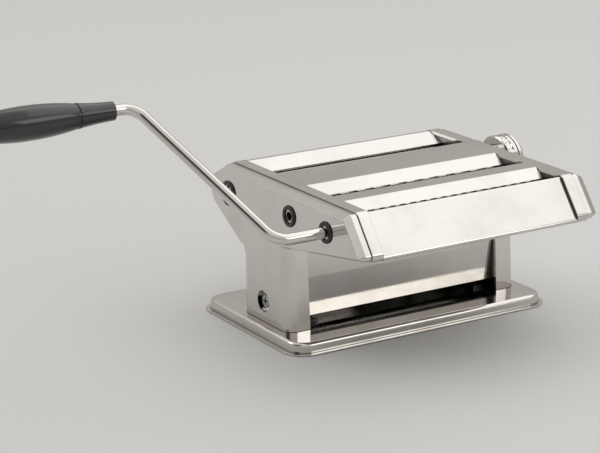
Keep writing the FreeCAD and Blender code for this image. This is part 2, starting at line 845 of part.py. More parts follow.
def make_cutters():
    """Both cutter pairs, with their gears and combs."""
    for name, nip, strip, sides in (
        ("wide", wide_nip, wide_strip, wide_sides), ("narrow", narrow_nip, narrow_strip, narrow_sides)
    ):
        rear = nip + cutter_spacing / 2
        front = nip - cutter_spacing / 2
        driven = cutter_roller(rear, strip, sides, 0.0, shaft_end)
        tilt = crank_tilt() if name == "narrow" else 0
        export(f"{name}_cutter_rear", [socketed(driven, rear, cutter_z, tilt)])
        export(f"{name}_cutter_front", [cutter_roller(front, strip, sides, strip, gear_far)])
        pitch = cutter_spacing / 2
        sizes = (cutter_teeth, pitch, cutter_addendum, cutter_dedendum, cutter_tooth)
        half_tooth = math.pi / cutter_teeth
        export(f"{name}_rear_gear", [gear(rear, cutter_z, *sizes, cutter_shaft_radius, 0)])
        export(f"{name}_front_gear", [gear(front, cutter_z, *sizes, cutter_shaft_radius, half_tooth)])
        export(f"{name}_rear_comb", [comb(rear, strip, 0.0, 1)])
        export(f"{name}_front_comb", [comb(front, strip, strip, -1)])


def make_scrapers():
    """Thin scrapers fixed under the smooth rollers."""
    lean = math.radians(scraper_lean)
    turn = math.radians(scraper_turn)
    near = roller_radius + scraper_gap
    far = near + roller_travel / 2
    for name, y, z, reach, way in (
        ("fixed_roller_scraper", roller_axis_y, roller_z, near, 1),
        ("adjustable_roller_scraper", regulator_y, roller_z, far, -1),
    ):
        tip_y = y + way * reach * math.sin(turn)
        tip_z = z - reach * math.cos(turn)
        foot = (tip_y + way * scraper_length * math.cos(lean), tip_z - scraper_length * math.sin(lean), 0.0)
        path = [(tip_y, tip_z, 0.0), foot]
        export(name, [bent_sheet(path if way < 0 else path[::-1], inner)])


def make_bushes():
    """Flanged bushes in both frames."""
    flange_far = plate_out + bush_flange_thickness
    for side, name in ((-1, "left_bushes"), (1, "right_bushes")):
        bushes = []
        for y, z, shaft in bush_places(side):
            outer = bush_radius(shaft)
            flange = outer + bush_flange
            bore = shaft + run_gap
            profile = [
                (inner, bore), (inner, outer - run_gap), (plate_out, outer - run_gap), (plate_out, flange),
                (flange_far, flange), (flange_far, bore),
            ]
            bushes.append(turned_x([(side * x, r) for x, r in profile], y, z))
        export(name, bushes)


def make_ties():
    """Tie rods between the frames, with the recessed cover screws in the lower rod's ends."""
    rods = []
    for y, z in upper_ties():
        rods.append(fused([
            rod_x(y, z, tie_rod_radius, -inner, inner), rod_x(y, z, tie_rod_end_radius, -plate_out, plate_out)
        ]))
    lower = rod_x(lower_tie_y, lower_tie_z, tie_rod_radius, -inner, inner)
    screws = []
    floor = cover_out - dimple_depth
    for side in (-1, 1):
        bore_end = side * (inner - screw_bite - screw_spare)
        lower = lower.cut(rod_x(lower_tie_y, lower_tie_z, screw_radius + run_gap, bore_end, side * inner))
        head = rod_x(lower_tie_y, lower_tie_z, screw_head_radius, side * floor, side * (floor + screw_head))
        shank = rod_x(lower_tie_y, lower_tie_z, screw_radius, side * (inner - screw_bite), side * floor)
        screws.append(fused([head, shank]))
    export("tie_rods", rods + [lower])
    export("cover_screws", screws)


def make_grommets():
    """Dark grommets round the three crank sockets."""
    flange_far = -cover_out - grommet_flange_thickness
    grommets = []
    for y, z, shaft in socket_places():
        bore = shaft + fit_gap
        neck = grommet_outer(shaft)
        flange = neck + grommet_flange
        profile = [
            (-cover_inner, bore), (-cover_inner, neck), (-cover_out, neck), (-cover_out, flange),
            (flange_far, flange - grommet_edge), (flange_far, bore),
        ]
        grommets.append(turned_x(profile, y, z))
    export("socket_grommets", grommets)


def crank_tilt():
    """Turn of the crank's arm about its shaft, from straight up, in degrees."""
    return math.degrees(math.atan2(-crank_arm_y, crank_arm_z))


def make_crank():
    """Crank: bent rod with a turned-down tip and spindle, a loose grip and its rivet."""
    y = narrow_nip + cutter_spacing / 2
    shoulder = cover_out + grommet_flange_thickness + crank_shoulder
    corner = vec(-cover_out - crank_out, y, cutter_z)
    top = corner + vec(crank_arm_x, crank_arm_y, crank_arm_z)
    stem_end = top + vec(-crank_stem, 0, 0)
    start = vec(-shoulder, y, cutter_z)
    edges = []
    last = start
    for before, here, after in ((start, corner, top), (corner, top, stem_end)):
        back = (before - here).normalize()
        ahead = (after - here).normalize()
        half = back.getAngle(ahead) / 2
        reach = crank_bend / math.tan(half)
        centre = here + (back + ahead).normalize() * (crank_bend / math.sin(half))
        middle = centre + (here - centre).normalize() * crank_bend
        edges.append(Part.makeLine(last, here + back * reach))
        edges.append(Part.Arc(here + back * reach, middle, here + ahead * reach).toShape())
        last = here + ahead * reach
    edges.append(Part.makeLine(last, stem_end))
    section = Part.Wire(Part.makeCircle(crank_rod_radius, start, vec(1, 0, 0)))
    rod = Part.Wire(edges).makePipeShell([section], True, False)
    tip_end = shaft_end - socket_depth + crank_tip_spare
    tip = rod_x(y, cutter_z, crank_tip_radius, -tip_end, -shoulder - crank_rod_radius)
    peg_x = -shaft_end + socket_slot_depth / 2
    peg = Part.makeCylinder(crank_peg_radius, cutter_shaft_radius, vec(peg_x, y, cutter_z), vec(0, 0, 1))
    peg.rotate(vec(0, y, cutter_z), vec(1, 0, 0), crank_tilt())
    grip_start = stem_end.x - grip_gap
    grip_far = grip_start - grip_length
    spindle = rod_x(top.y, top.z, spindle_radius, stem_end.x + crank_rod_radius, grip_far + rivet_head)
    export("crank_rod", [fused([rod, tip, peg, spindle])])
    export("crank_grip", [grip(grip_start, top.y, top.z)])
    rivet_x = (grip_far + rivet_head, grip_far)
    export("grip_rivet", [rod_x(top.y, top.z, rivet_radius, *rivet_x)])


def grip(start, y, z):
    """Turned grip: slim neck, stepped shoulder, full belly, waist and rounded end, bored for its spindle."""
    bore = spindle_radius + run_gap
    pocket = rivet_radius + end_gap
    pocket_floor = grip_length - rivet_head - end_gap
    step = grip_shoulder_at + grip_step_width
    groove = grip_shoulder_radius - grip_step
    profile = [
        (0, bore, 0),
        (0, grip_start_radius, 0),
        (grip_shoulder_at, grip_shoulder_radius, -grip_neck_hollow),
        (grip_shoulder_at, groove, 0),
        (step, groove, 0),
        (step, grip_shoulder_radius, 0),
        (grip_belly_at, grip_belly_radius, grip_belly_swell),
        (grip_waist_at, grip_waist_radius, grip_waist_swell),
        (grip_waist_at + grip_step_width, grip_end_radius, 0),
        (grip_length, pocket + grip_lip, grip_end_swell),
        (grip_length, pocket, 0),
        (pocket_floor, pocket, 0),
        (pocket_floor, bore, 0),
        (0, bore, 0),
    ]
    edges = []
    for (along, radius, _), (next_along, next_radius, swell) in zip(profile, profile[1:]):
        here = vec(start - along, y, z + radius)
        there = vec(start - next_along, y, z + next_radius)
        if swell:
            middle = (here + there) * 0.5 + vec(0, 0, swell)
            edges.append(Part.Arc(here, middle, there).toShape())
        else:
            edges.append(Part.makeLine(here, there))
    return Part.Face(Part.Wire(edges)).revolve(vec(start, y, z), vec(1, 0, 0), 360)


def main():
    """Build and write every piece."""
    os.makedirs("parts", exist_ok=True)
    make_base()
    make_covers()
    make_frames()
    make_pedestal_panels()
    make_head_plates()
    make_smooth_rollers()
    make_regulator()
    make_cutters()
    make_scrapers()
    make_bushes()
    make_ties()
    make_grommets()
    make_crank()


main()
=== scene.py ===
"""Hand-cranked pasta roller machine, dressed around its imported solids.

Metres, in the part's own frame: X along the rollers to the knob, Y back, Z up.
"""

import json
import logging
import math
from dataclasses import dataclass
from enum import Enum
from typing import Callable, Dict, List, Optional, Tuple, Union

import bmesh
import bpy
from mathutils import Matrix, Vector


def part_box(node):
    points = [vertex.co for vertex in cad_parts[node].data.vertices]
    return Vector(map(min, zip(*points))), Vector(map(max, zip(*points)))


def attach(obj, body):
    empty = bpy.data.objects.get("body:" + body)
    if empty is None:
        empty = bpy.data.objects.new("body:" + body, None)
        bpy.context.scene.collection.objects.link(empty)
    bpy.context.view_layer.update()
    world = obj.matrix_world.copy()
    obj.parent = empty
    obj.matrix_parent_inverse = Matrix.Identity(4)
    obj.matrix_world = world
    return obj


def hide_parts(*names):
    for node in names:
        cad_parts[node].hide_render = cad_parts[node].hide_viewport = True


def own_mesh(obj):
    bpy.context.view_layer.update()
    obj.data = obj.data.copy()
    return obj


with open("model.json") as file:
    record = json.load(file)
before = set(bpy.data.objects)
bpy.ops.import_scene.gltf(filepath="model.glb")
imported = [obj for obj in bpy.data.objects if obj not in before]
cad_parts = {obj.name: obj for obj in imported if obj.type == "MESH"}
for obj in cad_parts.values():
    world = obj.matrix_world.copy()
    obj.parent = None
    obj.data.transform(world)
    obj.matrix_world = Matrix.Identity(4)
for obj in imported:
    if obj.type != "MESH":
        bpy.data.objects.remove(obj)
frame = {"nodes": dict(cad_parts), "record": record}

MM = 0.001
IMAGE_WIDTH = 600
SENSOR_WIDTH = 36.0
SMOOTH_ANGLE = math.radians(32)
TOUCH = 0.01 * MM
SQUARE = 0.99
SLACK = 1e-6
# Painted shade: near-black colour that the metals take in corners, seams and at the feet of steps, and the
# samples that find those places
PAINTED_SHADE_COLOUR = "#171614"
PAINTED_SHADE_SAMPLES = 8
EDGE_SAMPLES = 6
SMUDGE_MM = 38.0
RUB_MM = 22.0
PLASTIC_IOR = 1.5
COAT_ROUGHNESS = 0.06
FIGURE_SHARE = 0.7
LOG = logging.getLogger("pasta_machine")

Colour = Tuple[float, float, float, float]


class Slot(Enum):
    """The record's material slots."""

    CHROME = "chrome_plate"
    STEEL = "steel"
    ROLLER = "roller_metal"
    STRIPPER = "stripper_steel"
    BRONZE = "bush_bronze"
    GROMMET = "grommet_plastic"
    GRIP = "grip_plastic"
    RUBBER = "foot_rubber"


class Lay(Enum):
    """Way that the fine lines of a ground surface run, as the stretch of the pattern along X, Y and Z."""

    ALONG_X = (0.02, 1.0, 1.0)
    AROUND_X = (1.0, 0.05, 0.05)
    EVEN = (1.0, 1.0, 1.0)


def linear(code: str) -> Colour:
    """Turn an sRGB hex colour to linear values.

    Args:
        code: Colour as "#rrggbb".

    Returns:
        Red, green, blue and alpha, from 0 to 1.
    """
    parts = [int(code[i:i + 2], 16) / 255 for i in (1, 3, 5)]
    values = [c / 12.92 if c <= 0.04045 else ((c + 0.055) / 1.055) ** 2.4 for c in parts]
    return (values[0], values[1], values[2], 1.0)


def add_node(tree: bpy.types.NodeTree, kind: str, settings: Optional[dict] = None,
             links: Optional[dict] = None) -> bpy.types.Node:
    """Add a node with its settings and links.

    Args:
        tree: Node tree that takes the node.
        kind: Blender's name for the node type.
        settings: Property or socket values; a socket is named with a leading "=".
        links: Sockets of other nodes, by the name or number of the input that each feeds.

    Returns:
        The new node.
    """
    made = tree.nodes.new(kind)
    for key, value in (settings or {}).items():
        if key.startswith("="):
            made.inputs[key[1:]].default_value = value
        else:
            setattr(made, key, value)
    for key, socket in (links or {}).items():
        tree.links.new(socket, made.inputs[key])
    return made


@dataclass(frozen=True)
class MetalFinish:
    """A bare or plated metal: its colour, gloss, fine lines, the slow waves of its sheet and the shade
    painted into its corners and seams.

    Attributes:
        name: Common name of the metal and how it was made.
        tint: Colour of the metal's reflections.
        worn: Colour where handling and polishing have changed it.
        gloss: Roughness of clean metal and of smudged metal.
        lay: Way that the fine lines run.
        line_mm: Width of the fine lines.
        line_depth_mm: Depth of the fine lines.
        wave_mm: Length of the sheet's slow waves, 0 for none.
        wave_depth_mm: Depth of those waves.
        edge_mm: Rounding of edges that catches the light.
        seam_mm: Width of the painted shade, a dark line in a seam or at the foot of a step, where little
            light reaches.
    """

    name: str
    tint: str
    worn: str
    gloss: Tuple[float, float]
    lay: Lay
    line_mm: float
    line_depth_mm: float
    wave_mm: float
    wave_depth_mm: float
    edge_mm: float
    seam_mm: float

    def make(self) -> bpy.types.Material:
        """Build the node material.

        Returns:
            The new material.
        """
        made = bpy.data.materials.new(self.name)
        made.use_nodes = True
        tree = made.node_tree
        shader = tree.nodes["Principled BSDF"]
        shader.inputs["Metallic"].default_value = 1.0
        place = add_node(tree, "ShaderNodeTexCoord").outputs["Object"]
        smudge = add_node(tree, "ShaderNodeTexNoise",
                          {"=Scale": 1 / (SMUDGE_MM * MM), "=Detail": 5.0, "=Roughness": 0.62},
                          {"Vector": place})
        stretched = add_node(tree, "ShaderNodeMapping", {"=Scale": self.lay.value}, {"Vector": place})
        lines = add_node(tree, "ShaderNodeTexNoise", {"=Scale": 1 / (self.line_mm * MM), "=Detail": 2.0},
                         {"Vector": stretched.outputs["Vector"]})
        wear = add_node(tree, "ShaderNodeMapRange", {"=From Min": 0.45, "=From Max": 0.75},
                        {"Value": smudge.outputs["Fac"]})
        blend = add_node(tree, "ShaderNodeMix",
                         {"data_type": "RGBA", "=A": linear(self.tint), "=B": linear(self.worn)},
                         {"Factor": wear.outputs["Result"]})
        # Painted shade: where ambient occlusion finds a corner, seam or recess within the given width, the
        # colour turns to near-black
        corner_occlusion = add_node(tree, "ShaderNodeAmbientOcclusion",
                        {"samples": PAINTED_SHADE_SAMPLES, "=Distance": self.seam_mm * MM})
        unshaded_share = add_node(tree, "ShaderNodeMapRange", {"=From Min": 0.45, "=From Max": 0.85},
                            {"Value": corner_occlusion.outputs["AO"]})
        painted_shade = add_node(tree, "ShaderNodeMix", {"data_type": "RGBA", "=A": linear(PAINTED_SHADE_COLOUR)},
                        {"Factor": unshaded_share.outputs["Result"], "B": blend.outputs["Result"]})
        tree.links.new(painted_shade.outputs["Result"], shader.inputs["Base Color"])
        clean, smudged = self.gloss
        rough = add_node(tree, "ShaderNodeMapRange",
                         {"=From Min": 0.35, "=From Max": 0.72, "=To Min": clean, "=To Max": smudged},
                         {"Value": smudge.outputs["Fac"]})
        tree.links.new(rough.outputs["Result"], shader.inputs["Roughness"])
        rounded = add_node(tree, "ShaderNodeBevel", {"samples": EDGE_SAMPLES, "=Radius": self.edge_mm * MM})
        normal = rounded.outputs["Normal"]
        if self.wave_mm:
            wave = add_node(tree, "ShaderNodeTexNoise", {"=Scale": 1 / (self.wave_mm * MM), "=Detail": 1.0},
                            {"Vector": place})
            slow = add_node(tree, "ShaderNodeBump", {"=Strength": 1.0, "=Distance": self.wave_depth_mm * MM},
                            {"Height": wave.outputs["Fac"], "Normal": normal})
            normal = slow.outputs["Normal"]
        fine = add_node(tree, "ShaderNodeBump", {"=Strength": 1.0, "=Distance": self.line_depth_mm * MM},
                        {"Height": lines.outputs["Fac"], "Normal": normal})
        tree.links.new(fine.outputs["Normal"], shader.inputs["Normal"])
        return made


@dataclass(frozen=True)
class MouldedFinish:
    """A moulded plastic or rubber: its colour, gloss and the fine skin that the mould leaves.

    Attributes:
        name: Common name of the material and how it was made.
        colour: Body colour.
        faded: Colour where hands have rubbed it.
        gloss: Roughness of the clean skin and of the rubbed skin.
        coat: Weight of the clear gloss over it.
        grain_mm: Size of the skin's grain.
        grain_depth_mm: Depth of the grain.
        edge_mm: Rounding of edges that catches the light.
    """

    name: str
    colour: str
    faded: str
    gloss: Tuple[float, float]
    coat: float
    grain_mm: float
    grain_depth_mm: float
    edge_mm: float

    def make(self) -> bpy.types.Material:
        """Build the node material.

        Returns:
            The new material.
        """
        made = bpy.data.materials.new(self.name)
        made.use_nodes = True
        tree = made.node_tree
        shader = tree.nodes["Principled BSDF"]
        shader.inputs["IOR"].default_value = PLASTIC_IOR
        shader.inputs["Coat Weight"].default_value = self.coat
        shader.inputs["Coat Roughness"].default_value = COAT_ROUGHNESS
        place = add_node(tree, "ShaderNodeTexCoord").outputs["Object"]
        rubbed = add_node(tree, "ShaderNodeTexNoise",
                          {"=Scale": 1 / (RUB_MM * MM), "=Detail": 6.0, "=Roughness": 0.6},
                          {"Vector": place})
        grain = add_node(tree, "ShaderNodeTexNoise", {"=Scale": 1 / (self.grain_mm * MM), "=Detail": 3.0},
                         {"Vector": place})
        wear = add_node(tree, "ShaderNodeMapRange", {"=From Min": 0.4, "=From Max": 0.7},
                        {"Value": rubbed.outputs["Fac"]})
        blend = add_node(tree, "ShaderNodeMix",
                         {"data_type": "RGBA", "=A": linear(self.colour), "=B": linear(self.faded)},
                         {"Factor": wear.outputs["Result"]})
        tree.links.new(blend.outputs["Result"], shader.inputs["Base Color"])
        clean, handled = self.gloss
        rough = add_node(tree, "ShaderNodeMapRange",
                         {"=From Min": 0.35, "=From Max": 0.7, "=To Min": clean, "=To Max": handled},
                         {"Value": rubbed.outputs["Fac"]})
        tree.links.new(rough.outputs["Result"], shader.inputs["Roughness"])
        rounded = add_node(tree, "ShaderNodeBevel", {"samples": EDGE_SAMPLES, "=Radius": self.edge_mm * MM})
        fine = add_node(tree, "ShaderNodeBump", {"=Strength": 1.0, "=Distance": self.grain_depth_mm * MM},
                        {"Height": grain.outputs["Fac"], "Normal": rounded.outputs["Normal"]})
        tree.links.new(fine.outputs["Normal"], shader.inputs["Normal"])
        return made


# Real lines and grain are finer than these, which are drawn as coarse as they need to be to show
# Each metal's last figure is the width of the shade painted into its corners and seams
FINISHES: Dict[Slot, Union[MetalFinish, MouldedFinish]] = {
    # Bright chrome plate on pressed sheet: a mirror with slow waves that bend what it shows
    Slot.CHROME: MetalFinish(
        "chrome_plated_pressed_steel", tint="#d6d3cf", worn="#cac6c1", gloss=(0.05, 0.12), lay=Lay.EVEN,
        line_mm=0.9, line_depth_mm=0.0012, wave_mm=60.0, wave_depth_mm=0.04, edge_mm=0.4, seam_mm=1.1),
    # Zinc-plated steel: a soft grey shine with faint tumbling marks; its wide reach paints shade over the
    # frames' inner faces and the machine's inside
    Slot.STEEL: MetalFinish(
        "zinc_plated_steel", tint="#b9babb", worn="#a3a4a4", gloss=(0.24, 0.38), lay=Lay.EVEN,
        line_mm=0.6, line_depth_mm=0.004, wave_mm=0.0, wave_depth_mm=0.0, edge_mm=0.25, seam_mm=20.0),
    # Ground and nickel-plated rollers: lines round the roller draw the highlight out along it
    Slot.ROLLER: MetalFinish(
        "ground_nickel_plated_steel", tint="#cfcecb", worn="#bdbbb7", gloss=(0.16, 0.28), lay=Lay.AROUND_X,
        line_mm=0.35, line_depth_mm=0.003, wave_mm=0.0, wave_depth_mm=0.0, edge_mm=0.2, seam_mm=1.0),
    # Stamped steel strip of combs and scrapers: rolled lines along the strip
    Slot.STRIPPER: MetalFinish(
        "stamped_spring_steel", tint="#b4b4b2", worn="#9c9b98", gloss=(0.22, 0.36), lay=Lay.ALONG_X,
        line_mm=0.4, line_depth_mm=0.003, wave_mm=0.0, wave_depth_mm=0.0, edge_mm=0.2, seam_mm=1.0),
    # Sintered bronze: warm and slightly open-grained, dulled by oil
    Slot.BRONZE: MetalFinish(
        "sintered_bronze", tint="#b58a55", worn="#8f6a3f", gloss=(0.3, 0.45), lay=Lay.EVEN,
        line_mm=0.25, line_depth_mm=0.006, wave_mm=0.0, wave_depth_mm=0.0, edge_mm=0.2, seam_mm=1.0),
    # Moulded nylon grommets: dark with a dry, fine-grained skin
    Slot.GROMMET: MouldedFinish(
        "moulded_nylon", colour="#1d1d1e", faded="#2a2a2b", gloss=(0.42, 0.55), coat=0.0,
        grain_mm=0.5, grain_depth_mm=0.01, edge_mm=0.3),
    # Compression-moulded phenolic grip: deep black under a hard gloss
    Slot.GRIP: MouldedFinish(
        "moulded_phenolic", colour="#101011", faded="#19191a", gloss=(0.16, 0.3), coat=0.6,
        grain_mm=0.8, grain_depth_mm=0.004, edge_mm=0.4),
    # Nitrile rubber feet: flat black that holds dust
    Slot.RUBBER: MouldedFinish(
        "moulded_nitrile_rubber", colour="#1b1b1b", faded="#2c2b2a", gloss=(0.7, 0.85), coat=0.0,
        grain_mm=0.6, grain_depth_mm=0.02, edge_mm=0.4),
}


def clear_selection() -> None:
    """Leave edit mode and deselect everything."""
    if bpy.context.object and bpy.context.object.mode != "OBJECT":
        bpy.ops.object.mode_set(mode="OBJECT")
    bpy.ops.object.select_all(action="DESELECT")


def select_only(piece: bpy.types.Object) -> None:
    """Make one object the only selected and active one.

    Args:
        piece: Object to select.
    """
    clear_selection()
    piece.select_set(True)
    bpy.context.view_layer.objects.active = piece


def add_bar(radius: float, start: Vector, stop: Vector, sides: int) -> bpy.types.Object:
    """Add a round bar along X and leave it in edit mode with nothing selected.

    Args:
        radius: Radius of the bar.
        start: Middle of its low end.
        stop: Middle of its high end.
        sides: Number of sides.

    Returns:
        The bar's object, at the origin.
    """
    clear_selection()
    bpy.ops.mesh.primitive_cylinder_add(vertices=sides, radius=radius, depth=(stop - start).length,
                                        location=(start + stop) / 2, rotation=(0, math.pi / 2, 0))
    bar = bpy.context.object
    bpy.ops.object.transform_apply(location=True, rotation=True, scale=True)
    bpy.ops.object.mode_set(mode="EDIT")
    bpy.ops.mesh.select_mode(type="FACE")
    bpy.ops.mesh.select_all(action="DESELECT")
    return bar


def select_faces(piece: bpy.types.Object, test: Callable[[bmesh.types.BMFace], bool]) -> None:
    """Select the faces of the object in edit mode that pass a test.

    Args:
        piece: Object in edit mode.
        test: Says whether a face is wanted.
    """
    bpy.ops.mesh.select_mode(type="FACE")
    bpy.ops.mesh.select_all(action="DESELECT")
    mesh = bmesh.from_edit_mesh(piece.data)
    for face in mesh.faces:
        if test(face):
            face.select_set(True)
    bmesh.update_edit_mesh(piece.data)


def at_x(place: float) -> Callable[[bmesh.types.BMFace], bool]:
    """Give a test for faces that stand square to X at one place."""
    return lambda face: abs(face.normal.x) > SQUARE and abs(face.calc_center_median().x - place) < TOUCH


def narrow_end(bar: bpy.types.Object, place: float, cut: float, push: float) -> None:
    """Inset one end of a bar in edit mode and push the smaller end out or in.

    Args:
        bar: Bar along X, in edit mode.
        place: Where the end is along X.
        cut: How much smaller the new radius is.
        push: How far the smaller end moves along X.
    """
    select_faces(bar, at_x(place))
    bpy.ops.mesh.inset(thickness=cut, depth=0.0)
    bpy.ops.mesh.extrude_region_move(TRANSFORM_OT_translate={"value": (push, 0, 0)})


def bevel_ends(bar: bpy.types.Object, places: Tuple[float, ...], width: float, segments: int = 2) -> None:
    """Bevel the rims of a bar's ends, in edit mode.

    Args:
        bar: Bar along X, in edit mode.
        places: Where the ends are along X.
        width: Width of the bevel.
        segments: Number of steps in the bevel.
    """
    for place in places:
        select_faces(bar, at_x(place))
        bpy.ops.mesh.region_to_loop()
        bpy.ops.mesh.bevel(offset=width, offset_type="OFFSET", segments=segments, affect="EDGES")


def join(pieces: List[bpy.types.Object], name: str) -> bpy.types.Object:
    """Join pieces to one object and name it.

    Args:
        pieces: Objects to join; the first keeps its place.
        name: Name of the joined piece.

    Returns:
        The joined object.
    """
    clear_selection()
    for piece in pieces:
        piece.select_set(True)
    bpy.context.view_layer.objects.active = pieces[0]
    if len(pieces) > 1:
        bpy.ops.object.join()
    joined = bpy.context.object
    joined.name = name
    joined.data.name = name
    return joined


def cut_with(piece: bpy.types.Object, cutter: bpy.types.Object) -> None:
    """Cut one piece with another and remove the cutter.

    Args:
        piece: Piece that loses material.
        cutter: Shape that is taken away.
    """
    select_only(piece)
    tool = piece.modifiers.new("cut", "BOOLEAN")
    tool.operation = "DIFFERENCE"
    tool.solver = "EXACT"
    tool.object = cutter
    bpy.ops.object.modifier_apply(modifier=tool.name)
    bpy.data.objects.remove(cutter, do_unlink=True)


def finish_piece(piece: bpy.types.Object, body: str, material: bpy.types.Material,
                 stands_for: Tuple[str, ...] = ()) -> None:
    """Smooth a new piece, dress it and let it ride on its body.

    Args:
        piece: The finished shape, at the origin.
        body: Body that carries it.
        material: Its material.
        stands_for: Solids that it is shown in place of.
    """
    select_only(piece)
    bpy.ops.object.shade_smooth_by_angle(angle=SMOOTH_ANGLE)
    piece.data.materials.clear()
    piece.data.materials.append(material)
    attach(piece, body)
    if stands_for:
        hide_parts(*stands_for)
    clear_selection()
    LOG.info("%s rides on %s", piece.name, body)


def axis_of(node: str) -> Tuple[float, float]:
    """Find the place along Y and Z of the axis of a node that was turned about X."""
    low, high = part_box(node)
    return (low.y + high.y) / 2, (low.z + high.z) / 2


@dataclass
class CutterRoller:
    """One cutter roller: a ground core between journals, with square-edged rings.

    Attributes:
        node: Solid that it stands for.
        body: Body that carries it.
        strip: Width of a strip of pasta.
        offset: Place of one ring's middle along X.
        driven: Whether the crank fits its left end.
        radius: Radius of the rings.
        core: Radius between the rings.
        shaft: Radius of the journals.
        reach: Half length of the part between the frames.
        side_gap: Room at each side of a ring.
        edge: Bevel on a ring's rims.
        socket: Radius of the crank's socket.
        socket_depth: Depth of that socket.
        sides: Sides of the round shapes.
    """

    node: str
    body: str
    strip: float
    offset: float
    driven: bool
    radius: float = 9.0 * MM
    core: float = 6.6 * MM
    shaft: float = 4.5 * MM
    reach: float = 75.6 * MM
    side_gap: float = 0.2 * MM
    edge: float = 0.15 * MM
    socket: float = 3.1 * MM
    socket_depth: float = 23.0 * MM
    sides: int = 44

    def rings(self) -> bpy.types.Object:
        """Model one ring and repeat it along the roller.

        Returns:
            All the rings as one object.
        """
        y, z = axis_of(self.node)
        step = 2 * self.strip
        limit = self.reach - self.strip / 2
        first = self.offset - step * math.floor((self.offset + limit) / step + SLACK)
        count = int((limit - first) / step + SLACK) + 1
        half = self.strip / 2 - self.side_gap
        ring = add_bar(self.radius, Vector((first - half, y, z)), Vector((first + half, y, z)), self.sides)
        bevel_ends(ring, (first - half, first + half), self.edge, 1)
        select_only(ring)
        repeat = ring.modifiers.new("repeat", "ARRAY")
        repeat.count = count
        repeat.use_relative_offset = False
        repeat.use_constant_offset = True
        repeat.constant_offset_displace = (step, 0, 0)
        bpy.ops.object.modifier_apply(modifier=repeat.name)
        return ring

    def spindle(self) -> bpy.types.Object:
        """Model the core with its journals and, where it is driven, the crank's socket.

        Returns:
            The spindle's object.
        """
        y, z = axis_of(self.node)
        low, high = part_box(self.node)
        bar = add_bar(self.core, Vector((-self.reach, y, z)), Vector((self.reach, y, z)), self.sides)
        narrow_end(bar, self.reach, self.core - self.shaft, high.x - self.reach)
        narrow_end(bar, -self.reach, self.core - self.shaft, low.x + self.reach)
        if self.driven:
            narrow_end(bar, low.x, self.shaft - self.socket, self.socket_depth)
        bevel_ends(bar, (high.x,), 2 * self.edge)
        return bar

    def build(self, material: bpy.types.Material) -> None:
        """Build the roller and dress it in its metal."""
        roller = join([self.spindle(), self.rings()], f"{self.node}_turned")
        finish_piece(roller, self.body, material, (self.node,))


@dataclass
class ScrewSet:
    """Cross-head screws of one size, shown in place of their plain solids.

    Attributes:
        node: Solids that they stand for.
        body: Body that carries them.
        places: Middle of each head's face.
        outward: Way that each head faces.
        head_radius: Radius of the head.
        head: Height of the head.
        shank_radius: Radius of the shank.
        shank: Length of the shank.
        cross: Length of the cross recess.
        cross_width: Width of its arms.
        cross_depth: Depth of the recess.
        dome: Rounding of the head's rim, as a share of the head's height.
        dome_steps: Number of steps in that rounding.
        sides: Sides of the round shapes.
    """

    node: str
    body: str
    places: Tuple[Vector, ...]
    outward: Tuple[Vector, ...]
    head_radius: float
    head: float
    shank_radius: float
    shank: float
    cross: float
    cross_width: float
    cross_depth: float
    dome: float = 0.35
    dome_steps: int = 3
    sides: int = 32

    def screw(self) -> bpy.types.Object:
        """Model one screw with its head's face at the origin, facing +X.

        Returns:
            The screw's object.
        """
        screw = add_bar(self.head_radius, Vector((-self.head, 0, 0)), Vector((0, 0, 0)), self.sides)
        narrow_end(screw, -self.head, self.head_radius - self.shank_radius, -self.shank)
        bevel_ends(screw, (0.0,), self.head * self.dome, self.dome_steps)
        clear_selection()
        for turn in (0.0, math.pi / 2):
            bpy.ops.mesh.primitive_cube_add(size=1.0, rotation=(turn, 0, 0))
            arm = bpy.context.object
            arm.scale = (2 * self.cross_depth, self.cross, self.cross_width)
            bpy.ops.object.transform_apply(location=True, rotation=True, scale=True)
            cut_with(screw, arm)
            clear_selection()
        return screw

    def build(self, material: bpy.types.Material) -> None:
        """Copy the screw to each place and dress the set.

        Args:
            material: Metal of the screws.
        """
        first = self.screw()
        made = []
        for place, way in zip(self.places, self.outward):
            copy = first.copy()
            copy.data = first.data.copy()
            bpy.context.scene.collection.objects.link(copy)
            turn = Vector((1, 0, 0)).rotation_difference(way).to_matrix().to_4x4()
            copy.data.transform(Matrix.Translation(place) @ turn)
            made.append(copy)
        bpy.data.objects.remove(first, do_unlink=True)
        finish_piece(join(made, f"{self.node}_cross_head"), self.body, material, (self.node,))


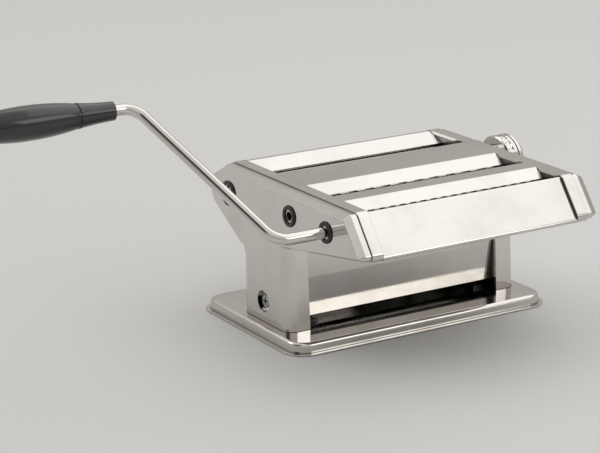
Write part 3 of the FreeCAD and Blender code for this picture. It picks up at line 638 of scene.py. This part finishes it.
@dataclass
class KnobNumbers:
    """Setting numbers round the band of the knob's head, with a tick beside each.

    Attributes:
        node: Knob that carries them.
        body: Body that carries them.
        settings: Number of settings.
        swing: Turn from the first setting to the last, in degrees.
        number_x: Middle of the numbers, from the knob's near side.
        tick_x: Middle of the ticks, from the knob's near side.
        height: Height of a number.
        proud: Thickness of the printed ink.
        tick: Length and width of a tick.
    """

    node: str = "regulator_knob"
    body: str = "knob"
    settings: int = 7
    swing: float = 100.0
    number_x: float = 18.0 * MM
    tick_x: float = 15.0 * MM
    height: float = 3.4 * MM
    proud: float = 0.06 * MM
    tick: Tuple[float, float] = (1.4 * MM, 0.5 * MM)

    def mark(self, number: int) -> List[bpy.types.Object]:
        """Model one number and its tick, flat at the origin with up along Y.

        Args:
            number: Setting to write.

        Returns:
            The number's and the tick's objects.
        """
        clear_selection()
        bpy.ops.object.text_add()
        text = bpy.context.object
        text.data.body = str(number)
        text.data.size = self.height / FIGURE_SHARE
        text.data.align_x = "CENTER"
        text.data.align_y = "CENTER"
        text.data.extrude = self.proud
        bpy.ops.object.convert(target="MESH")
        text.data.transform(Matrix.Translation((self.number_x, 0, 0)))
        clear_selection()
        bpy.ops.mesh.primitive_cube_add(size=1.0, location=(self.tick_x, 0, 0))
        tick = bpy.context.object
        tick.scale = (self.tick[0], self.tick[1], 2 * self.proud)
        bpy.ops.object.transform_apply(location=True, rotation=True, scale=True)
        return [text, tick]

    def build(self, material: bpy.types.Material) -> None:
        """Place the marks round the band and dress them.

        Args:
            material: Ink of the numbers.
        """
        y, z = axis_of(self.node)
        low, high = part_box(self.node)
        made = []
        for i in range(self.settings):
            turn = math.radians(self.swing * i / (self.settings - 1))
            place = Matrix.Translation((low.x, y, z)) @ Matrix.Rotation(turn, 4, "X")
            place = place @ Matrix.Translation((0, 0, high.z - z))
            for piece in self.mark(i + 1):
                piece.data.transform(place)
                made.append(piece)
        finish_piece(join(made, "knob_numbers"), self.body, material)


@dataclass
class BentSheet:
    """A sheet folded along X that closes the head or leads into a hopper, between the side covers.

    Attributes:
        node: Solid that it stands for.
        corners: Fold lines of the outer face along Y and Z, in mm, in order with the outside on the left.
        bends: How much of the flats beside it each fold's rounding takes, in mm.
        body: Body that carries it.
        sheet: Thickness of the sheet.
        end_gap: Room at each end.
        border: Width of the edge strips that keep the flats' shading flat.
        flat_area: Area above which a face is a flat.
        bend_steps: Number of steps in a fold's rounding.
    """

    node: str
    corners: Tuple[Tuple[float, float], ...]
    bends: Tuple[float, ...]
    body: str = "frame"
    sheet: float = 1.2 * MM
    end_gap: float = 0.1 * MM
    border: float = 0.3 * MM
    flat_area: float = 500 * MM * MM
    bend_steps: int = 6

    def select_fold(self, piece: bpy.types.Object, point: Vector) -> None:
        """Select the edge along one fold line, in edit mode.

        Args:
            piece: Sheet in edit mode.
            point: Where the fold line is along Y and Z.
        """
        bpy.ops.mesh.select_mode(type="EDGE")
        bpy.ops.mesh.select_all(action="DESELECT")
        mesh = bmesh.from_edit_mesh(piece.data)
        for edge in mesh.edges:
            edge.select_set(all(math.dist(v.co.yz, point.yz) < TOUCH for v in edge.verts))
        bmesh.update_edit_mesh(piece.data)

    def fold(self, half: float) -> bpy.types.Object:
        """Draw the outer face out from fold to fold, round the folds and give it its thickness.

        Args:
            half: Half of its length along X.

        Returns:
            The bent sheet.
        """
        clear_selection()
        points = [Vector((0, y * MM, z * MM)) for y, z in self.corners]
        run = points[1] - points[0]
        bpy.ops.mesh.primitive_plane_add(size=1.0, location=(points[0] + points[1]) / 2,
                                         rotation=(math.atan2(run.z, run.y), 0, 0))
        piece = bpy.context.object
        piece.scale = (2 * half, run.length, 1)
        bpy.ops.object.transform_apply(location=True, rotation=True, scale=True)
        bpy.ops.object.mode_set(mode="EDIT")
        for point, after in zip(points[1:], points[2:]):
            self.select_fold(piece, point)
            bpy.ops.mesh.extrude_edges_move(TRANSFORM_OT_translate={"value": after - point})
        for point, width in zip(points[1:-1], self.bends):
            self.select_fold(piece, point)
            bpy.ops.mesh.bevel(offset=width * MM, offset_type="OFFSET", segments=self.bend_steps,
                               affect="EDGES")
        select_faces(piece, lambda face: face.calc_area() > self.flat_area)
        bpy.ops.mesh.inset(thickness=self.border, depth=0.0, use_individual=True)
        select_only(piece)
        wall = piece.modifiers.new("wall", "SOLIDIFY")
        wall.thickness = self.sheet
        wall.offset = -1.0
        wall.use_even_offset = True
        bpy.ops.object.modifier_apply(modifier=wall.name)
        return piece

    def build(self, material: bpy.types.Material) -> None:
        """Fold and dress the sheet.

        Args:
            material: Metal of the sheet.
        """
        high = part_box(self.node)[1]
        sheet = join([self.fold(high.x - self.end_gap)], f"{self.node}_bent")
        finish_piece(sheet, self.body, material, (self.node,))


@dataclass
class KnobSpring:
    """Coil spring inside the knob's head, wound about X, which closes up as the knob is pulled.

    Attributes:
        node: Solid that it stands for.
        body: Body that carries it.
        joint: Joint that squeezes it; not used.
        wire: Radius of the wire.
        radius: Radius of the coil's middle line.
        turns: Number of turns.
        keep: Share of its length that is left at the end of the pull; not used.
        wire_sides: Sides of the wire.
        steps: Number of steps along the wire.
    """

    node: str = "knob_spring"
    body: str = "regulator"
    joint: str = "knob_pull"
    wire: float = 0.3 * MM
    radius: float = 6.9 * MM
    turns: float = 2.25
    keep: float = 0.32
    wire_sides: int = 12
    steps: int = 84

    def wind(self, length: float) -> bpy.types.Object:
        """Wind the wire about X from the origin.

        Args:
            length: Length of the spring.

        Returns:
            The closed coil.
        """
        clear_selection()
        bpy.ops.mesh.primitive_circle_add(vertices=self.wire_sides, radius=self.wire,
                                          location=(self.wire, 0, self.radius), rotation=(math.pi / 2, 0, 0))
        coil = bpy.context.object
        bpy.ops.object.transform_apply(location=True, rotation=True, scale=True)
        winding = coil.modifiers.new("winding", "SCREW")
        winding.axis = "X"
        winding.angle = 2 * math.pi * self.turns
        winding.screw_offset = length - 2 * self.wire
        winding.steps = self.steps
        winding.render_steps = self.steps
        bpy.ops.object.modifier_apply(modifier=winding.name)
        bpy.ops.object.mode_set(mode="EDIT")
        bpy.ops.mesh.select_all(action="SELECT")
        bpy.ops.mesh.fill_holes(sides=0)
        bpy.ops.mesh.normals_make_consistent(inside=False)
        return coil

    def build(self, material: bpy.types.Material) -> None:
        """Wind the spring and put it round its shaft.

        Args:
            material: Metal of the spring.
        """
        y, z = axis_of(self.node)
        low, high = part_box(self.node)
        coil = join([self.wind(high.x - low.x)], "knob_coil_spring")
        coil.data.transform(Matrix.Translation((low.x, y, z)))
        finish_piece(coil, self.body, material, (self.node,))
        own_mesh(coil)


@dataclass(frozen=True)
class SoftBox:
    """One soft lamp that faces the machine.

    Attributes:
        name: Name of the lamp.
        place: Where it hangs.
        size: Its width and height.
        power: Its power in watts.
        colour: Colour of its light.
        aim: Point that it faces.
    """

    name: str
    place: Tuple[float, float, float]
    size: Tuple[float, float]
    power: float
    colour: str
    aim: Tuple[float, float, float] = (0.0, -0.02, 0.07)

    def hang(self) -> None:
        """Add the lamp to the scene."""
        data = bpy.data.lights.new(self.name, "AREA")
        data.shape = "RECTANGLE"
        data.size, data.size_y = self.size
        data.energy = self.power
        data.color = linear(self.colour)[:3]
        lamp = bpy.data.objects.new(self.name, data)
        lamp.location = self.place
        lamp.rotation_mode = "QUATERNION"
        lamp.rotation_quaternion = (Vector(self.aim) - Vector(self.place)).to_track_quat("-Z", "Y")
        bpy.context.scene.collection.objects.link(lamp)


@dataclass
class Studio:
    """Floor, lamps, sky and camera.

    Attributes:
        floor_size: Side of the floor.
        floor_colour: Colour of the floor.
        floor_rough: Roughness of the floor.
        floor_shine: Strength of the floor's sheen.
        azimuth: Camera's place round the object, in degrees.
        elevation: Camera's height above the horizon, in degrees.
        roll: Camera's tilt, in degrees.
        distance: From the camera to its target.
        target: Point at the middle of the picture.
        focal_px: Focal length in the photograph's pixels.
        clip: Nearest and farthest distance that the camera shows.
        sky_steps: Colours of the sky, by the height of the direction from 0 at the horizon to 1 overhead.
        sky_strength: Brightness of the sky.
        drape_way: Direction of a dark drape that the bevels and the rod show.
        drape_spread: Angles from its middle at which the drape is whole and gone, in degrees.
        drape_colour: Colour of the drape.
        lamps: Soft boxes round the machine.
    """

    floor_size: float = 14.0
    floor_colour: str = "#dadad9"
    floor_rough: float = 0.55
    floor_shine: float = 0.3
    azimuth: float = -30.883
    elevation: float = 16.32
    roll: float = -0.837
    distance: float = 1.42885
    target: Tuple[float, float, float] = (-0.059675, 0.0, 0.067010)
    focal_px: float = 2118.4
    clip: Tuple[float, float] = (0.05, 60.0)
    sky_steps: Tuple[Tuple[float, str], ...] = (
        (0.0, "#b4b1ad"), (0.2, "#c6c2bd"), (0.36, "#c9c5c0"), (0.55, "#dcdad7"), (0.8, "#f4f3f1"),
    )
    sky_strength: float = 0.9
    drape_way: Tuple[float, float, float] = (-0.78, -0.25, 0.57)
    drape_spread: Tuple[float, float] = (15.0, 24.0)
    drape_colour: str = "#4c4a48"
    lamps: Tuple[SoftBox, ...] = (
        SoftBox("key_box", (1.0, 0.1, 1.55), (2.8, 1.35), 7.7, "#fffefc"),
        SoftBox("rear_box", (-0.9, 1.1, 1.3), (1.2, 0.9), 3.5, "#ffffff"),
        SoftBox("front_box", (0.7, -1.5, 0.9), (0.9, 0.7), 3.0, "#fffefc"),
    )

    def camera(self) -> None:
        """Set the camera at the photograph's viewing angle."""
        data = bpy.data.cameras.new("camera")
        data.sensor_width = SENSOR_WIDTH
        data.lens = self.focal_px * SENSOR_WIDTH / IMAGE_WIDTH
        data.clip_start, data.clip_end = self.clip
        camera = bpy.data.objects.new("camera", data)
        bpy.context.scene.collection.objects.link(camera)
        round_z = math.radians(self.azimuth)
        up = math.radians(self.elevation)
        roll = Matrix.Rotation(math.radians(self.roll), 3, "Z").to_quaternion()
        back = Vector((math.sin(round_z) * math.cos(up), -math.cos(round_z) * math.cos(up), math.sin(up)))
        camera.location = Vector(self.target) + back * self.distance
        camera.rotation_mode = "QUATERNION"
        camera.rotation_quaternion = (-back).to_track_quat("-Z", "Y") @ roll
        bpy.context.scene.camera = camera

    def floor(self) -> None:
        """Lay a plain pale floor under the machine."""
        clear_selection()
        bpy.ops.mesh.primitive_plane_add(size=self.floor_size, location=(0, 0, 0))
        floor = bpy.context.object
        floor.name = "floor"
        made = bpy.data.materials.new("pale_matt_floor")
        made.use_nodes = True
        tree = made.node_tree
        shader = tree.nodes["Principled BSDF"]
        shader.inputs["Base Color"].default_value = linear(self.floor_colour)
        shader.inputs["Roughness"].default_value = self.floor_rough
        shader.inputs["Specular IOR Level"].default_value = self.floor_shine
        floor.data.materials.append(made)

    def sky(self) -> None:
        """Give the bright metal a room to show: grey at eye height, pale above, one dark drape."""
        world = bpy.data.worlds.new("studio")
        world.use_nodes = True
        bpy.context.scene.world = world
        tree = world.node_tree
        place = add_node(tree, "ShaderNodeTexCoord").outputs["Generated"]
        height = add_node(tree, "ShaderNodeSeparateXYZ", {}, {"Vector": place}).outputs["Z"]
        bands = add_node(tree, "ShaderNodeValToRGB", {}, {"Fac": height})
        items = bands.color_ramp.elements
        while len(items) < len(self.sky_steps):
            items.new(0.5)
        for item, (at, colour) in zip(items, self.sky_steps):
            item.position = at
            item.color = linear(colour)
        near = add_node(tree, "ShaderNodeVectorMath", {"operation": "DOT_PRODUCT"}, {0: place})
        near.inputs[1].default_value = Vector(self.drape_way).normalized()
        inside, outside = (math.cos(math.radians(a)) for a in self.drape_spread)
        hidden = add_node(tree, "ShaderNodeMapRange", {"=From Min": outside, "=From Max": inside},
                          {"Value": near.outputs["Value"]})
        drape = add_node(tree, "ShaderNodeMix", {"data_type": "RGBA", "=B": linear(self.drape_colour)},
                         {"Factor": hidden.outputs["Result"], "A": bands.outputs["Color"]})
        tree.links.new(drape.outputs["Result"], tree.nodes["Background"].inputs["Color"])
        tree.nodes["Background"].inputs["Strength"].default_value = self.sky_strength

    def build(self) -> None:
        """Set up the whole studio."""
        self.camera()
        self.floor()
        self.sky()
        for lamp in self.lamps:
            lamp.hang()


@dataclass
class Machine:
    """The whole machine: its solids dressed by material slot, and the pieces made here.

    Attributes:
        wide_strip: Width of the wide cutters' strips.
        narrow_strip: Width of the narrow cutters' strips.
        top: Height of the top plates, in mm.
    """

    wide_strip: float = 6.5 * MM
    narrow_strip: float = 4.0 * MM
    top: float = 106.4

    def dress(self, materials: Dict[Slot, bpy.types.Material]) -> None:
        """Give every solid the finish of its material slot.

        Args:
            materials: Material of each slot.
        """
        for part in frame["record"]["subparts"]:
            solid = frame["nodes"][part["node"]]
            solid.data.materials.clear()
            solid.data.materials.append(materials[Slot(part["material_slot"])])

    def cutters(self) -> List[CutterRoller]:
        """List the four cutter rollers.

        Returns:
            The rollers, with the wide pair first.
        """
        made = []
        for name, strip in (("wide", self.wide_strip), ("narrow", self.narrow_strip)):
            made.append(CutterRoller(f"{name}_cutter_rear", f"{name}_driven", strip, 0.0, True))
            made.append(CutterRoller(f"{name}_cutter_front", f"{name}_idler", strip, strip, False))
        return made

    def screws(self) -> List[ScrewSet]:
        """List the sets of screws.

        Returns:
            The cover screws and the base screws.
        """
        low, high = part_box("cover_screws")
        y, z = axis_of("cover_screws")
        cover = ScrewSet(
            "cover_screws", "frame", places=(Vector((low.x, y, z)), Vector((high.x, y, z))),
            outward=(Vector((-1, 0, 0)), Vector((1, 0, 0))),
            head_radius=4.5 * MM, head=2.2 * MM, shank_radius=2.5 * MM, shank=23.5 * MM,
            cross=5.2 * MM, cross_width=1.1 * MM, cross_depth=1.3 * MM)
        low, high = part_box("base_screws")
        radius = 3.5 * MM
        across = (low.x + radius, high.x - radius)
        along = (low.y + radius, high.y - radius)
        corners = [(x, y) for x in across for y in along]
        base = ScrewSet(
            "base_screws", "frame", places=tuple(Vector((x, y, low.z)) for x, y in corners),
            outward=(Vector((0, 0, -1)),) * len(corners),
            head_radius=radius, head=1.8 * MM, shank_radius=2.0 * MM, shank=5.2 * MM,
            cross=4.2 * MM, cross_width=0.9 * MM, cross_depth=1.0 * MM)
        return [cover, base]

    def sheets(self) -> List[BentSheet]:
        """List the bent sheets round the hoppers.

        Returns:
            The sunk front cover, the rear cover with the chute, and the two top plates with their guides.
        """
        top = self.top
        front = BentSheet(
            "front_head_cover",
            ((-102.5, 76.8), (-102.5, 74.36), (-128.77, 78.45), (-108.0, 105.75), (-102.55, 102.21)),
            (1.8, 3.2, 1.55))
        rear = BentSheet(
            "rear_head_cover", ((28.49, 100.13), (45.0, top), (59.5, 99.0), (66.0, 84.5), (60.0, 75.0)),
            (2.66, 2.82, 4.29))
        rollers = BentSheet(
            "roller_top_plate", ((-46.47, 100.61), (-36.0, top), (2.0, top), (2.0, 100.9)), (0.52, 2.0))
        cutters = BentSheet(
            "cutter_top_plate", ((-91.12, 100.77), (-82.0, top), (-66.7, top), (-66.7, 98.4)), (0.57, 2.0))
        return [front, rear, rollers, cutters]

    def build(self) -> None:
        """Dress the solids and build every new piece."""
        materials = {slot: finish.make() for slot, finish in FINISHES.items()}
        self.dress(materials)
        for cutter in self.cutters():
            cutter.build(materials[Slot.ROLLER])
        for screws in self.screws():
            screws.build(materials[Slot.STEEL])
        KnobNumbers().build(materials[Slot.GROMMET])
        KnobSpring().build(materials[Slot.STEEL])
        for sheet in self.sheets():
            sheet.build(materials[Slot.CHROME])


def main() -> None:
    """Build the studio and the machine."""
    logging.basicConfig(level=logging.INFO, format="%(name)s: %(message)s")
    bpy.context.scene.view_settings.view_transform = "Standard"
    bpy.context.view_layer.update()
    Studio().build()
    Machine().build()


if __name__ == "__main__":
    main()
